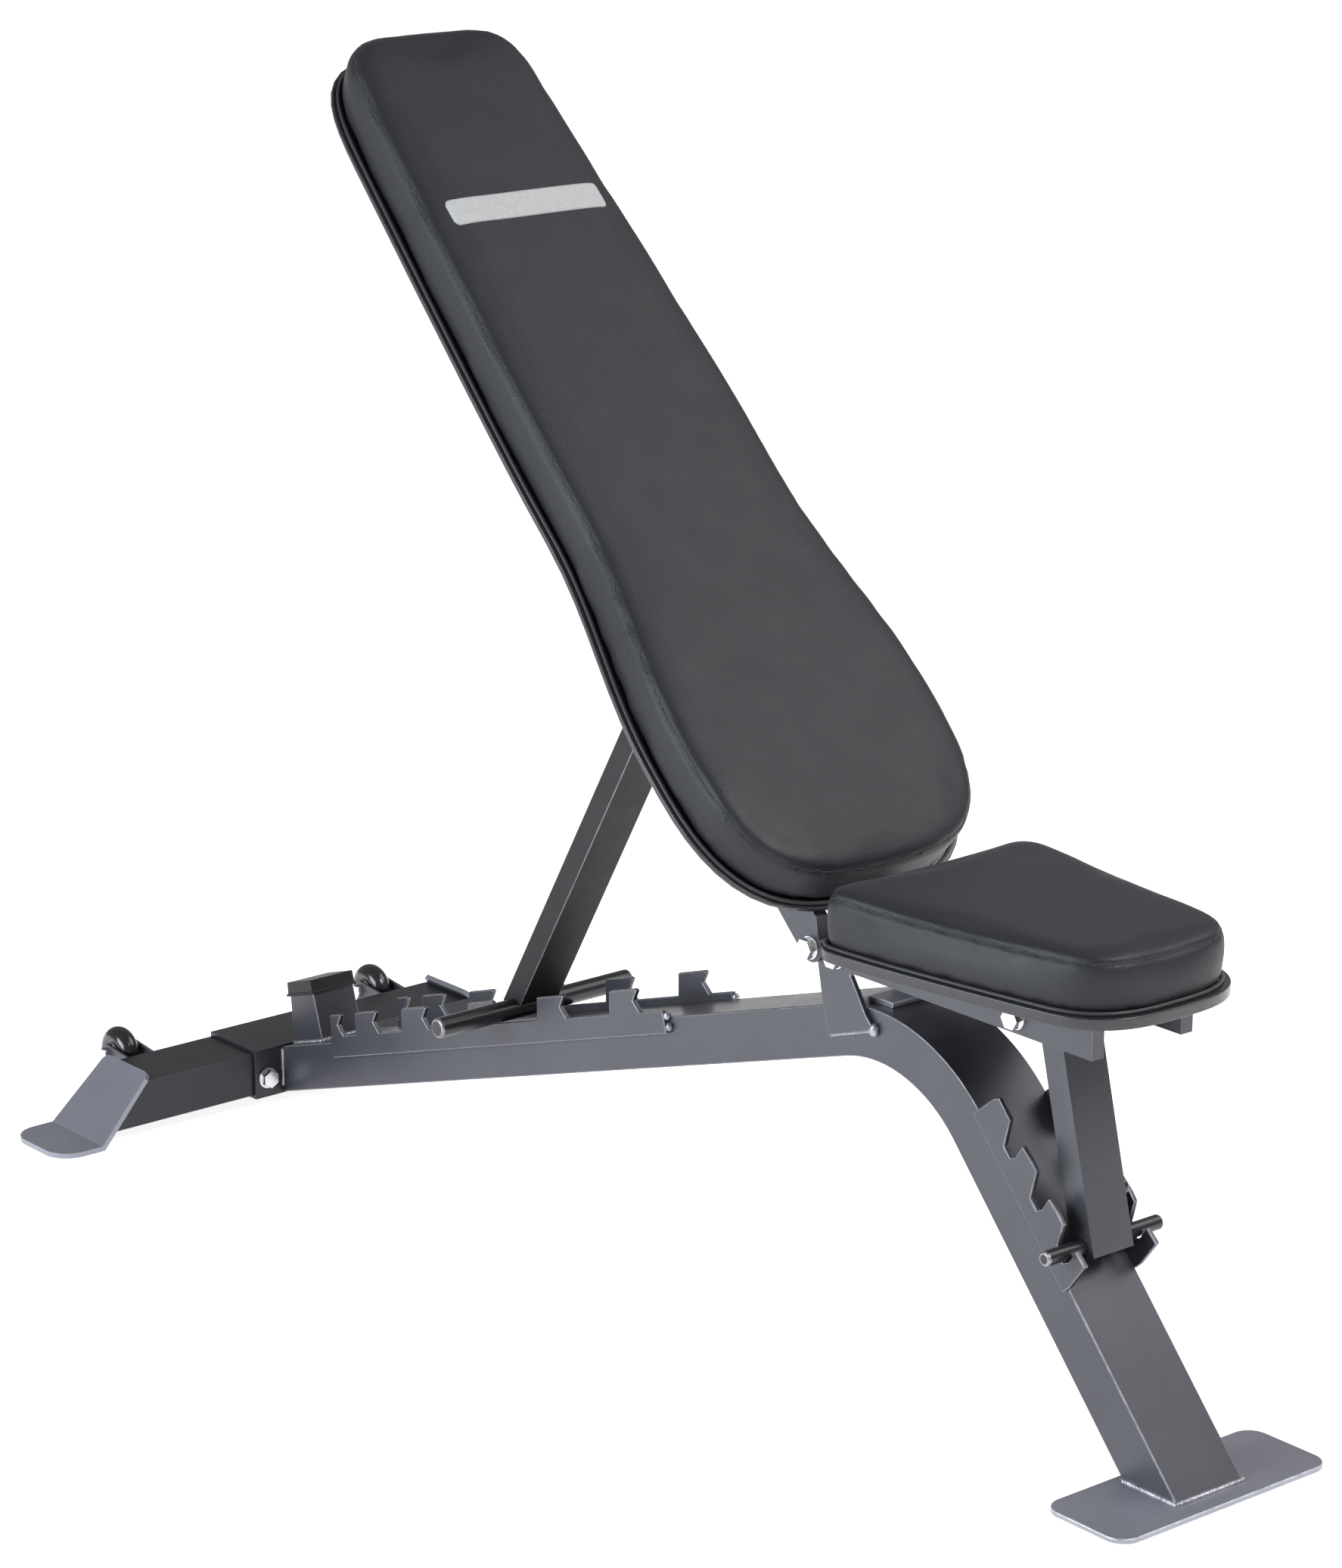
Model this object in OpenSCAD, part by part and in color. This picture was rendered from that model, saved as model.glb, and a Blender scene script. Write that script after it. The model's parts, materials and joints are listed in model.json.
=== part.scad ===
// Adjustable weight bench: bent main tube on a floor plate and a bolted rear stabiliser,
// a padded back rest propped by a strut in a notched ladder, and a padded seat propped by
// a post in a second ladder. Millimetres, +X to the seat end, +Z up, floor at z = 0,
// mirror plane at y = 0, origin at the middle of the footprint. The back rest's strut stands
// in front of the fourth of the ladder's six hooks.

/* [Main tube] */
// width across, along Y
tube_w = 75; // [60:1:90]
// height of the tube section
tube_h = 45; // [38:1:60]
// wall of the main tube
tube_wall = 2.5; // [1.5:0.5:4]
// slope of the long run
beam_angle = 17.6; // [10:0.1:25]
// slope of the front leg
leg_angle = 48.5; // [40:0.5:60]
// bend radius at the inside of the tube
bend_r = 128; // [90:1:180]
// bend centre along X
bend_x = 908.7; // [800:0.1:1000]
// bend centre height
bend_z = 150; // [120:1:180]

/* [Floor parts] */
// thickness of floor and end plates
plate_t = 5; // [4:0.5:8]
// front floor plate length along Y
foot_len = 238; // [200:1:320]
// front floor plate depth along X
foot_w = 91; // [70:1:110]
// stabiliser tube depth along X
stab_w = 70; // [60:1:90]
// stabiliser axis ahead of the reference line along X
stab_x = 3.5; // [0:0.5:8]
// stabiliser tube height
stab_h = 43; // [35:1:60]
// stabiliser underside above the floor
stab_z = 12; // [8:1:30]
// half length of the stabiliser along its top edge
stab_half = 195; // [150:1:260]
// height of the sloping end plates
end_plate_h = 64; // [50:1:80]
// reach of the floor flap past the fold
flap_len = 50; // [30:1:70]
// half length of the centre sleeve
sleeve_half = 70; // [50:1:100]
// wall of the centre sleeve
sleeve_wall = 3.2; // [2:0.1:5]

/* [Transport wheels] */
// wheel radius
wheel_r = 25; // [18:0.5:35]
// wheel width
wheel_w = 22; // [12:1:30]
// wheel centre behind the reference line
wheel_x = 71; // [65:1:90]
// wheel centre sideways
wheel_y = 153; // [110:1:180]
// wheel centre height
wheel_z = 47; // [42:1:60]
// axle radius
axle_r = 4; // [3:0.5:6]

/* [Back ladder] */
// ladder plate thickness
ladder_t = 5; // [3:0.5:8]
// rearmost hook's start along the beam
rear_hook = 94; // [88:1:96]
// rearmost hook's length
rear_hook_len = 22; // [18:1:24]
// second hook's start along the beam
second_hook = 135; // [130:1:140]
// second hook's length
second_hook_len = 42; // [36:1:48]
// first regular hook's start along the beam
hook_start = 213.5; // [205:0.5:220]
// pitch of the regular hooks
hook_pitch = 109.5; // [100:0.5:112]
// number of regular hooks
hook_count = 4; // [3:1:4]
// hook length along the beam
hook_len = 47; // [30:1:60]
// hook height over the beam
hook_h = 28; // [20:1:36]
// notch floor over the beam
notch_floor = 6.5; // [4:0.5:12]
// which hook the strut stands at, counted from the rear
hook_used = 4; // [4:1:4]

/* [Strut] */
// strut section, thin side
strut_t = 22; // [20:1:26]
// strut section, wide side along Y
strut_w = 45; // [40:1:60]
// cross rod radius
rod_r = 9.5; // [7:0.5:12]
// cross rod length
rod_len = 224; // [180:1:260]
// strut lean from the floor
strut_angle = 59.4; // [57:0.1:62]
// strut axis behind the rod's centre
strut_set = 7; // [5:0.5:8]

/* [Back rest] */
// slope of the back pad
back_angle = 44.6; // [30:0.1:85]
// pad reference point along X, on the pad's face
back_x = 866; // [840:1:900]
// pad reference point height
back_z = 463.5; // [430:0.5:500]
// pad reach above the reference point
back_top = 864; // [800:1:920]
// pad reach below the reference point
back_low = 36; // [32:1:38]
// half width at the waist
waist_half = 119; // [100:1:140]
// half width near the lower end
hip_half = 145; // [130:1:160]
// half width near the top end
head_half = 103; // [80:1:120]
// cushion thickness
cushion_t = 49; // [35:1:60]
// rim flange thickness
rim_t = 5; // [4:0.5:7]
// rim flange reach past the cushion
rim_out = 5; // [3:1:6]
// backing board thickness
board_t = 6; // [4:1:8]

/* [Seat] */
// seat face height
seat_z = 449; // [420:1:480]
// seat rear end along X
seat_rear = 927; // [926:1:934]
// corner radius at the seat's rear
seat_corner = 14; // [10:1:40]
// seat front end along X
seat_front = 1214; // [1180:1:1260]
// half width at the rear
seat_half = 118.5; // [100:0.5:130]
// loss of half width towards the front
seat_taper = 24; // [15:1:35]
// seat rim height
seat_rim_t = 10; // [5:1:12]

/* [Rails and pivots] */
// rail thickness along Y
rail_t = 13; // [10:1:20]
// inner face of the rails from the mirror plane
rail_in = 43; // [42.8:0.1:50]
// back pivot along X
back_pivot_x = 847; // [830:1:860]
// back pivot height
back_pivot_z = 366; // [350:1:380]
// seat pivot along X
seat_pivot_x = 880; // [870:1:900]
// seat pivot height
seat_pivot_z = 366; // [355:1:375]
// post pivot along X
post_pivot_x = 1094; // [1070:1:1110]
// post pivot height
post_pivot_z = 370; // [360:1:378]
// pivot bolt radius
bolt_r = 5; // [4:0.5:8]
// running clearance round pivot bolts
run_gap = 0.05; // [0.01:0.01:0.1]

/* [Seat post and ladder] */
// post section, thin side
post_t = 24; // [20:1:35]
// post section, wide side along Y
post_w = 45; // [40:1:60]
// seat rod radius
seat_rod_r = 6.5; // [5:0.5:9]
// seat rod length
seat_rod_len = 130; // [110:1:160]
// lowest notch up the leg
seat_notch = 217.5; // [200:0.5:240]
// notch pitch up the leg
seat_notch_pitch = 47.5; // [40:0.5:60]
// number of notches
seat_notch_count = 3; // [2:1:4]
// tooth height over the leg
tooth_h = 34; // [26:1:40]

/* [Rear rest post] */
// post height over the beam
rest_h = 59.5; // [45:0.5:80]
// post foot length along the beam
rest_foot = 50; // [40:1:60]
// post head length along the beam
rest_head = 39; // [30:1:50]
// post width along Y
rest_w = 48; // [40:1:60]
// cap skirt depth
cap_h = 12.5; // [10:0.5:20]

/* [Part choice] */

/* [Hidden] */
steel = [0.33, 0.33, 0.37];
pale_steel = [0.52, 0.53, 0.58];
zinc = [0.80, 0.80, 0.80];
vinyl = [0.16, 0.17, 0.19];
black = [0.04, 0.04, 0.045];
tube_half = tube_w / 2;
plate_out = tube_half + ladder_t;
bend_out = bend_r + tube_h;
bend_at = [bend_x, bend_z];
bend_steps = 44;
weld_gap = 0.05;
over = 20;
seat_len = seat_front - seat_rear;
stab_front = stab_x + stab_w / 2 + sleeve_wall + 0.3;
stab_back = stab_x - stab_w / 2;
foot_mid_behind = 25;
// the beam's top line: along and out of it
beam_along = [cos(beam_angle), sin(beam_angle)];
beam_out = [-sin(beam_angle), cos(beam_angle)];
beam_top = [bend_x, bend_z] + bend_out * beam_out;
beam_zero = 46;
leg_zero = 4;
beam_origin = beam_top - (beam_top[0] - beam_zero) / beam_along[0] * beam_along;
function on_beam(along, out) = beam_origin + along * beam_along + out * beam_out;
// the leg's front line: up and out of it
leg_up = [-cos(leg_angle), sin(leg_angle)];
leg_out = [sin(leg_angle), cos(leg_angle)];
leg_bend = [bend_x, bend_z] + bend_out * leg_out;
leg_foot = leg_bend - (leg_bend[1] - leg_zero) / leg_up[1] * leg_up;
function on_leg(up, out) = leg_foot + up * leg_up + out * leg_out;
// the footprint's middle, between the wheels' rear and the floor plate's front
rear_x = -wheel_x - wheel_r;
front_x = leg_foot[0] - foot_mid_behind + foot_w / 2;
centre_x = (rear_x + front_x) / 2;
// the back pad's face: up the pad and behind its face
pad_up = [-cos(back_angle), sin(back_angle)];
pad_back = [-sin(back_angle), -cos(back_angle)];
function on_pad(up, back) = [back_x, back_z] + up * pad_up + back * pad_back;
// layers behind the faces
rim_back = cushion_t - 1;
board_back = rim_back + rim_t;
rail_back = board_back + board_t;
rail_deep = rail_back + 37;
rail_top_end = 560;
seat_rim_z = seat_z - cushion_t - seat_rim_t + 1;
seat_board_z = seat_rim_z - 2;
seat_rail_z = 356;
// pivots
back_pivot = [back_pivot_x, back_pivot_z];
seat_pivot = [seat_pivot_x, seat_pivot_z];
post_pivot = [post_pivot_x, post_pivot_z];
// each hook's start and length along the beam, from the rear
hooks = concat(
  [[rear_hook, rear_hook_len], [second_hook, second_hook_len]],
  [for (i = [0:hook_count - 1]) [hook_start + i * hook_pitch, hook_len]]
);
hook_front = hooks[hook_used - 1][0] + hooks[hook_used - 1][1];
rod_at = on_beam(hook_front + 4.2, notch_floor + rod_r + 0.3);
strut_along = [cos(strut_angle), sin(strut_angle)];
pivot_back = rail_back + 19;
strut_foot = rod_at - [strut_set, 0];
foot_rel = strut_foot - [back_x, back_z];
strut_len = (foot_rel * pad_back - pivot_back) / -(strut_along * pad_back);
strut_top = strut_foot + strut_len * strut_along;
seat_rod_at = on_leg(seat_notch, 20.5);
post_vec = post_pivot - seat_rod_at;
post_len = norm(post_vec);
post_angle = atan2(post_vec[1], post_vec[0]);

// ---- helpers ----

// a profile drawn in X and Z, extruded between two Y planes
module side_profile(y0, y1) {
  translate([0, y1, 0])
    rotate([90, 0, 0])
      linear_extrude(height = y1 - y0)
        children();
}

// a round bar along Y
module bar_y(at, r, y0, y1, fn = 48) {
  translate([at[0], y0, at[1]])
    rotate([-90, 0, 0])
      cylinder(r = r, h = y1 - y0, $fn = fn);
}

// a hexagon head along Y
module hex_y(at, flats, y0, y1) {
  translate([at[0], y0, at[1]])
    rotate([-90, 0, 0])
      cylinder(r = flats / sqrt(3), h = y1 - y0, $fn = 6);
}

// through bolt along Y with washers, a hexagon head and a nut
module through_bolt(at, half, flats) {
  bar_y(at, bolt_r, -half - 1, half + 9);
  bar_y(at, bolt_r + 5, -half - 2, -half - weld_gap);
  bar_y(at, bolt_r + 5, half + weld_gap, half + 2);
  hex_y(at, flats, -half - 9, -half - 1);
  hex_y(at, flats, half + 1.5, half + 8);
}

// nodes are laid out from the stabiliser's axis, then set about the footprint's centre
module placed() {
  translate([-centre_x, 0, 0]) children();
}

module both_sides() {
  children();
  mirror([0, 1, 0]) children();
}

// ---- frame ----

// a point on the long run at a distance from the bend centre, brought back to one x
function beam_back(r, x) =
  bend_at + r * beam_out - (bend_x + r * beam_out[0] - x) / beam_along[0] * beam_along;
// a point on the leg at a distance from the bend centre, brought down to one height
function leg_down(r, z) =
  bend_at + r * leg_out - (bend_z + r * leg_out[1] - z) / leg_up[1] * leg_up;

// the bend's arc at one radius, from one angle to another
function bend_arc(r, from, to) = [
  for (i = [0:bend_steps])
    let(t = from + (to - from) * i / bend_steps)
      bend_at + r * [cos(t), sin(t)]
];

// the bent tube in side view, drawn in by inset from its outside
module tube_profile(inset, rear, foot) {
  outer = bend_out - inset;
  inner = bend_r + inset;
  polygon(concat(
    [beam_back(outer, rear)],
    bend_arc(outer, 90 + beam_angle, 90 - leg_angle),
    [leg_down(outer, foot), leg_down(inner, foot)],
    bend_arc(inner, 90 - leg_angle, 90 + beam_angle),
    [beam_back(inner, rear)]
  ));
}

module main_tube() {
  placed() color(steel)
    difference() {
      side_profile(-tube_half, tube_half)
        tube_profile(0, stab_front + weld_gap, plate_t);
      side_profile(-tube_half + tube_wall, tube_half - tube_wall)
        tube_profile(tube_wall, stab_front - over, plate_t - over);
    }
}

module foot_plate() {
  corner = 18;
  mid = leg_foot[0] - foot_mid_behind;
  placed() color(steel)
    linear_extrude(height = plate_t - weld_gap)
      hull()
        for (sx = [-1, 1], sy = [-1, 1])
          translate([mid + sx * (foot_w / 2 - corner), sy * (foot_len / 2 - corner)])
            circle(r = corner, $fn = 48);
}

// stabiliser section with ends cut at 45 degrees, drawn in by inset
module stabiliser_profile(inset, grow) {
  top = stab_z + stab_h - inset;
  low = stab_z + inset;
  half = stab_half + stab_z + stab_h + grow;
  polygon([
    [-half + top, top],
    [half - top, top],
    [half - low, low],
    [-half + low, low]
  ]);
}

module across_x(x0, x1) {
  translate([x0, 0, 0])
    rotate([90, 0, 90])
      linear_extrude(height = x1 - x0)
        children();
}

module stabiliser_tube() {
  placed() color(steel)
    difference() {
      across_x(stab_back, stab_back + stab_w) stabiliser_profile(0, -weld_gap);
      across_x(stab_back + tube_wall, stab_back + stab_w - tube_wall)
        stabiliser_profile(tube_wall, over);
      sleeve_bolt_holes();
    }
}

module rear_sleeve() {
  half = stab_w / 2 + 0.3;
  placed() color(steel)
    difference() {
      translate([stab_x - half - sleeve_wall, -sleeve_half, stab_z - 0.3 - sleeve_wall])
        cube([2 * (half + sleeve_wall), 2 * sleeve_half, stab_h + 0.6 + 2 * sleeve_wall]);
      translate([stab_x - half, -sleeve_half - 1, stab_z - 0.3])
        cube([2 * half, 2 * sleeve_half + 2, stab_h + 0.6]);
      sleeve_bolt_holes();
    }
}

bolt_y = 56;
bolt_z = stab_z + stab_h / 2 - 5;

module sleeve_bolt_holes() {
  for (sy = [-1, 1])
    translate([stab_x + stab_w / 4, sy * bolt_y, bolt_z])
      rotate([0, 90, 0])
        cylinder(r = 5.1, h = stab_w / 2, $fn = 48);
}

module sleeve_bolts() {
  placed() color(zinc)
    for (sy = [-1, 1])
      translate([stab_front, sy * bolt_y, bolt_z])
        rotate([0, 90, 0]) {
          translate([0, 0, -14]) cylinder(r = 5, h = 15, $fn = 48);
          translate([0, 0, weld_gap]) cylinder(r = 10.5, h = 2, $fn = 48);
          translate([0, 0, 1.5]) cylinder(r = 8 / cos(30), h = 6.5, $fn = 6);
        }
}

// one end plate: a sloping face on the tube's cut end, folded into a floor flap
module end_plate() {
  top_half = 38;
  fold_half = 45;
  slope_len = end_plate_h * sqrt(2) - plate_t;
  fold_y = stab_half + stab_z + stab_h;
  corner = 9;
  flap_corner = 26;
  translate([stab_x, fold_y, 0])
    rotate([45, 0, 0])
      translate([0, plate_t, 0])
        rotate([90, 0, 0])
          linear_extrude(height = plate_t)
            hull() {
              translate([-fold_half, 0]) square([2 * fold_half, 1]);
              for (sx = [-1, 1])
                translate([sx * (top_half - corner), slope_len - corner])
                  circle(r = corner, $fn = 48);
            }
  translate([stab_x, 0, 0])
    linear_extrude(height = plate_t)
      hull() {
        translate([-fold_half, fold_y]) square([2 * fold_half, 1]);
        for (sx = [-1, 1])
          translate([sx * (fold_half - flap_corner), fold_y + flap_len - flap_corner])
            circle(r = flap_corner, $fn = 48);
      }
}

module end_plate_far() {
  placed() color(pale_steel) end_plate();
}

module end_plate_near() {
  placed() color(pale_steel) mirror([0, 1, 0]) end_plate();
}

// ---- transport wheels ----

ear_gap = wheel_w / 2 + 2;
ear_t = 3;
wheel_at = [-wheel_x, wheel_z];

module wheel_bracket() {
  for (inner = [wheel_y - ear_gap - ear_t, wheel_y + ear_gap])
    difference() {
      side_profile(inner, inner + ear_t)
        hull() {
          translate(wheel_at) circle(r = 10.5, $fn = 48);
          translate([stab_back - 1, stab_z + 10]) square([1 - weld_gap, stab_h - 12]);
        }
      bar_y(wheel_at, axle_r + run_gap, inner - 1, inner + ear_t + 1);
    }
}

module wheel_brackets() {
  placed() color(steel) both_sides() wheel_bracket();
}

module wheel_axle() {
  reach = ear_gap + ear_t;
  bar_y(wheel_at, axle_r, wheel_y - reach - 1, wheel_y + reach + 1);
  hex_y(wheel_at, 12, wheel_y - reach - 5, wheel_y - reach - weld_gap);
  hex_y(wheel_at, 12, wheel_y + reach + weld_gap, wheel_y + reach + 5);
}

module wheel_axles() {
  placed() color(zinc) both_sides() wheel_axle();
}

hub_r = 9;
hub_half = 7;

// ring-shaped tyre, round in section
module tyre() {
  round_r = wheel_w / 2;
  translate([wheel_at[0], wheel_y, wheel_at[1]])
    rotate([90, 0, 0])
      rotate_extrude($fn = 72)
        difference() {
          translate([wheel_r - round_r, 0]) circle(r = round_r, $fn = 36);
          translate([-40, -20]) square([40 + hub_r, 40]);
        }
}

module hub() {
  difference() {
    bar_y(wheel_at, hub_r - weld_gap, wheel_y - hub_half, wheel_y + hub_half, 72);
    bar_y(wheel_at, axle_r + run_gap, wheel_y - wheel_w, wheel_y + wheel_w);
  }
}

module wheel_far() {
  placed() color(black) tyre();
}

module wheel_near() {
  placed() color(black) mirror([0, 1, 0]) tyre();
}

module wheel_hub_far() {
  placed() color(black) hub();
}

module wheel_hub_near() {
  placed() color(black) mirror([0, 1, 0]) hub();
}

// ---- rear rest post ----

module rest_profile(inset, low, high) {
  lean = (rest_foot - rest_head) / rest_h;
  polygon([
    on_beam(-2 + inset + lean * low, low),
    on_beam(-2 + inset + lean * high, high),
    on_beam(rest_foot - 2 - inset, high),
    on_beam(rest_foot - 2 - inset, low)
  ]);
}

module rest_post() {
  half = rest_w / 2;
  placed() color(steel)
    difference() {
      side_profile(-half, half) rest_profile(0, weld_gap, rest_h);
      side_profile(-half + 3, half - 3) rest_profile(3, -1, rest_h + 1);
    }
}

module rest_cap() {
  half = rest_w / 2;
  wall = 1.4;
  lip = 1.2;
  placed() color(black)
    difference() {
      union() {
        side_profile(-half - wall, half + wall)
          rest_profile(-wall, rest_h - cap_h, rest_h + wall);
        side_profile(-half - wall - lip, half + wall + lip)
          rest_profile(-wall - lip, rest_h - cap_h, rest_h - cap_h + 2.5);
      }
      side_profile(-half - 0.1, half + 0.1)
        rest_profile(-0.1, rest_h - cap_h - 1, rest_h + 0.1);
    }
}

// ---- back ladder ----

// one hook from its rear: the rising back, the top and the undercut front
function hook_points(h, len) = [
  on_beam(h, notch_floor),
  on_beam(h + 0.14 * len, hook_h - 0.6),
  on_beam(h + len - 3, hook_h - 0.4),
  on_beam(h + len, hook_h - 2),
  on_beam(h + len - 8.5, 17),
  on_beam(h + len - 2, notch_floor)
];
ladder_start = rear_hook - 4;
ladder_end = 620;

module back_ladder_profile() {
  polygon(concat(
    [on_beam(ladder_start, -14.5), on_beam(ladder_start, notch_floor)],
    [for (hook = hooks, p = hook_points(hook[0], hook[1])) p],
    [on_beam(ladder_end, notch_floor), on_beam(ladder_end, -14.5)]
  ));
}

module back_ladder_near() {
  placed() color(steel) side_profile(-plate_out, -tube_half - weld_gap) back_ladder_profile();
}

module back_ladder_far() {
  placed() color(steel) side_profile(tube_half + weld_gap, plate_out) back_ladder_profile();
}

// ---- seat ladder ----

// one notch from below: the holding tip, the bed and the sloping way out
function notch_points(c) = [
  on_leg(c - 20, tooth_h + 0.5),
  on_leg(c - 4.5, tooth_h - 1),
  on_leg(c - 8, 20),
  on_leg(c - 6, 13.4),
  on_leg(c + 4.5, 13),
  on_leg(c + 9, 19.5),
  on_leg(c + 18.5, tooth_h)
];

module seat_ladder_profile() {
  top = seat_notch + seat_notch_pitch * (seat_notch_count - 1) + 39;
  polygon(concat(
    [on_leg(192, -3), on_leg(192, 7)],
    [for (i = [0:seat_notch_count - 1], p = notch_points(seat_notch + i * seat_notch_pitch)) p],
    [on_leg(top, tooth_h), on_leg(top + 2.5, 27), on_leg(top + 4, -3)]
  ));
}

module seat_ladder_near() {
  placed() color(steel) side_profile(-plate_out, -tube_half - weld_gap) seat_ladder_profile();
}

module seat_ladder_far() {
  placed() color(steel) side_profile(tube_half + weld_gap, plate_out) seat_ladder_profile();
}

// ---- pivot plates ----

module pivot_profile() {
  difference() {
    union() {
      polygon([
        [854, 287],
        [904, 304],
        [909, 309],
        [900, 318],
        [890, 334],
        [881, 347],
        seat_pivot + [6, -9.2],
        seat_pivot + [0, 11],
        back_pivot + [0, 13],
        back_pivot + [-12, -5],
        [839.6, 350],
        [844.5, 324]
      ]);
      translate(back_pivot) circle(r = 13, $fn = 60);
      translate(seat_pivot) circle(r = 11, $fn = 60);
    }
    translate(back_pivot) circle(r = bolt_r + run_gap, $fn = 48);
    translate(seat_pivot) circle(r = bolt_r + run_gap, $fn = 48);
  }
}

module pivot_plate_near() {
  placed() color(steel) side_profile(-plate_out, -tube_half - weld_gap) pivot_profile();
}

module pivot_plate_far() {
  placed() color(steel) side_profile(tube_half + weld_gap, plate_out) pivot_profile();
}

// low plate laid on the bend between the pivot plates and the seat
module stop_bracket() {
  placed() color(pale_steel)
    side_profile(-25, 25)
      polygon(concat(
        bend_arc(bend_out + weld_gap, 98, 88),
        bend_arc(bend_out + 5, 88, 98)
      ));
}

// ---- back rest ----

// half width of the pad at a height up the pad
function hip_blend(s) = (1 + cos(180 * (s - 120) / 230)) / 2;
function head_loss(s) = (waist_half - head_half) * pow((s - 400) / 378, 1.25);
function back_half(s) =
  s < 120 ? hip_half * pow(1 - pow((120 - s) / (120 + back_low), 3), 1 / 3)
  : s < 350 ? waist_half + (hip_half - waist_half) * hip_blend(s)
  : s < 400 ? waist_half
  : waist_half - head_loss(s);
function head_round(s) =
  s < 740 ? 1 : pow(1 - pow((s - 740) / (back_top - 740), 3.6), 1 / 3.6);

steps = 44;
// heights are spaced closer where the ends turn round
function back_s(i) = (back_top - back_low) / 2 - (back_top + back_low) / 2 * cos(180 * i / steps);

module back_outline(grow) {
  half = [for (i = [0:steps]) let(s = back_s(i)) [s, back_half(s) * head_round(s)]];
  offset(delta = grow)
    polygon(concat(
      half,
      [for (i = [steps - 1:-1:1]) [half[i][0], -half[i][1]]]
    ));
}

// a layer parallel to the pad's face, between two depths behind it
module back_layer(near_back, far_back, grow) {
  at = on_pad(0, far_back);
  translate([at[0], 0, at[1]])
    rotate([0, back_angle, 0])
      rotate([0, 0, 180])
        linear_extrude(height = far_back - near_back)
          back_outline(grow);
}

module back_cushion() {
  placed() color(vinyl) {
    back_layer(9, rim_back - weld_gap, 0);
    back_layer(5, 9.01, -4);
    back_layer(2, 5.01, -8.5);
    back_layer(0, 2.01, -14);
  }
}

module back_rim() {
  placed() color(black) back_layer(rim_back, board_back - weld_gap, rim_out);
}

module back_board() {
  placed() color(black) back_layer(board_back, rail_back - weld_gap, -8);
}

module back_rail_profile() {
  difference() {
    union() {
      polygon([
        on_pad(-40, rail_back),
        on_pad(rail_top_end, rail_back),
        on_pad(rail_top_end, rail_back + 20),
        on_pad(rail_top_end - 12, rail_deep),
        on_pad(-40, rail_deep),
        back_pivot + 13 * pad_back,
        back_pivot - 13 * pad_up,
        back_pivot - 13 * pad_back
      ]);
      translate(back_pivot) circle(r = 13, $fn = 60);
    }
    translate(back_pivot) circle(r = bolt_r + run_gap, $fn = 48);
    translate(strut_top) circle(r = bolt_r + run_gap, $fn = 48);
  }
}

module back_rail_near() {
  placed() color(steel) side_profile(-rail_in - rail_t, -rail_in) back_rail_profile();
}

module back_rail_far() {
  placed() color(steel) side_profile(rail_in, rail_in + rail_t) back_rail_profile();
}

module back_straps() {
  placed() color(steel)
    for (low = [30, 470])
      side_profile(-rail_in + weld_gap, rail_in - weld_gap)
        polygon([
          on_pad(low, rail_back),
          on_pad(low + 40, rail_back),
          on_pad(low + 40, rail_back + 4),
          on_pad(low, rail_back + 4)
        ]);
}

module back_pivot_bolt() {
  placed() color(zinc) through_bolt(back_pivot, rail_in + rail_t, 16);
}

module strut_bolt() {
  placed() color(zinc) through_bolt(strut_top, rail_in + rail_t, 16);
}

module spacer_pair(at, y0, y1) {
  both_sides()
    difference() {
      bar_y(at, 10, y0, y1);
      bar_y(at, bolt_r + run_gap, y0 - 1, y1 + 1);
    }
}

module strut_spacers() {
  placed() color(steel) spacer_pair(strut_top, strut_w / 2 + 0.5, rail_in - weld_gap);
}

// ---- strut ----

// a rectangular tube from a rod up to a pivot, round at the pivot
module prop_tube(foot, head, angle, len, thick, wide, foot_over, chamfer, hole_at, hole_r) {
  wall = 2;
  half = wide / 2;
  difference() {
    translate([foot[0], 0, foot[1]])
      rotate([0, -angle, 0])
        difference() {
          side_profile(-half, half) {
            polygon([
              [-foot_over, -thick / 2],
              [-foot_over, thick / 2 - chamfer],
              [-foot_over + 2.4 * chamfer, thick / 2],
              [len, thick / 2],
              [len, -thick / 2]
            ]);
            translate([len, 0]) circle(r = thick / 2, $fn = 60);
          }
          side_profile(-half + wall, half - wall)
            polygon([
              [-foot_over - 1, -thick / 2 + wall],
              [-foot_over - 1, thick / 2 - wall - chamfer],
              [-foot_over + 2.4 * chamfer, thick / 2 - wall],
              [len - 14, thick / 2 - wall],
              [len - 14, -thick / 2 + wall]
            ]);
        }
    bar_y(head, bolt_r + run_gap, -half - 1, half + 1);
    bar_y(hole_at, hole_r, -half - 1, half + 1);
  }
}

module strut_tube() {
  placed() color(steel)
    prop_tube(strut_foot, strut_top, strut_angle, strut_len, strut_t, strut_w, 2, 0,
      rod_at, rod_r + weld_gap);
}

// round rod along Y with bevelled ends
module rod_y(at, r, len) {
  bevel = 1.5;
  translate([at[0], -len / 2, at[1]])
    rotate([-90, 0, 0])
      rotate_extrude($fn = 60)
        polygon([
          [0, 0],
          [r - bevel, 0],
          [r, bevel],
          [r, len - bevel],
          [r - bevel, len],
          [0, len]
        ]);
}

module strut_rod() {
  placed() color(steel) rod_y(rod_at, rod_r, rod_len);
}

// ---- seat ----

function seat_side(x) = seat_half - seat_taper * pow(max(0, (x - 950) / 177), 1.3);
function rear_half(x) =
  let(d = max(0, seat_rear + seat_corner - x))
    seat_side(x) - seat_corner + sqrt(seat_corner * seat_corner - d * d);
function front_round(x) =
  x < 1150 ? 1 : pow(1 - pow((x - 1150) / (seat_front - 1150), 3), 1 / 3);
function seat_x(i) = seat_rear + seat_len * (1 - cos(180 * i / steps)) / 2;

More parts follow.
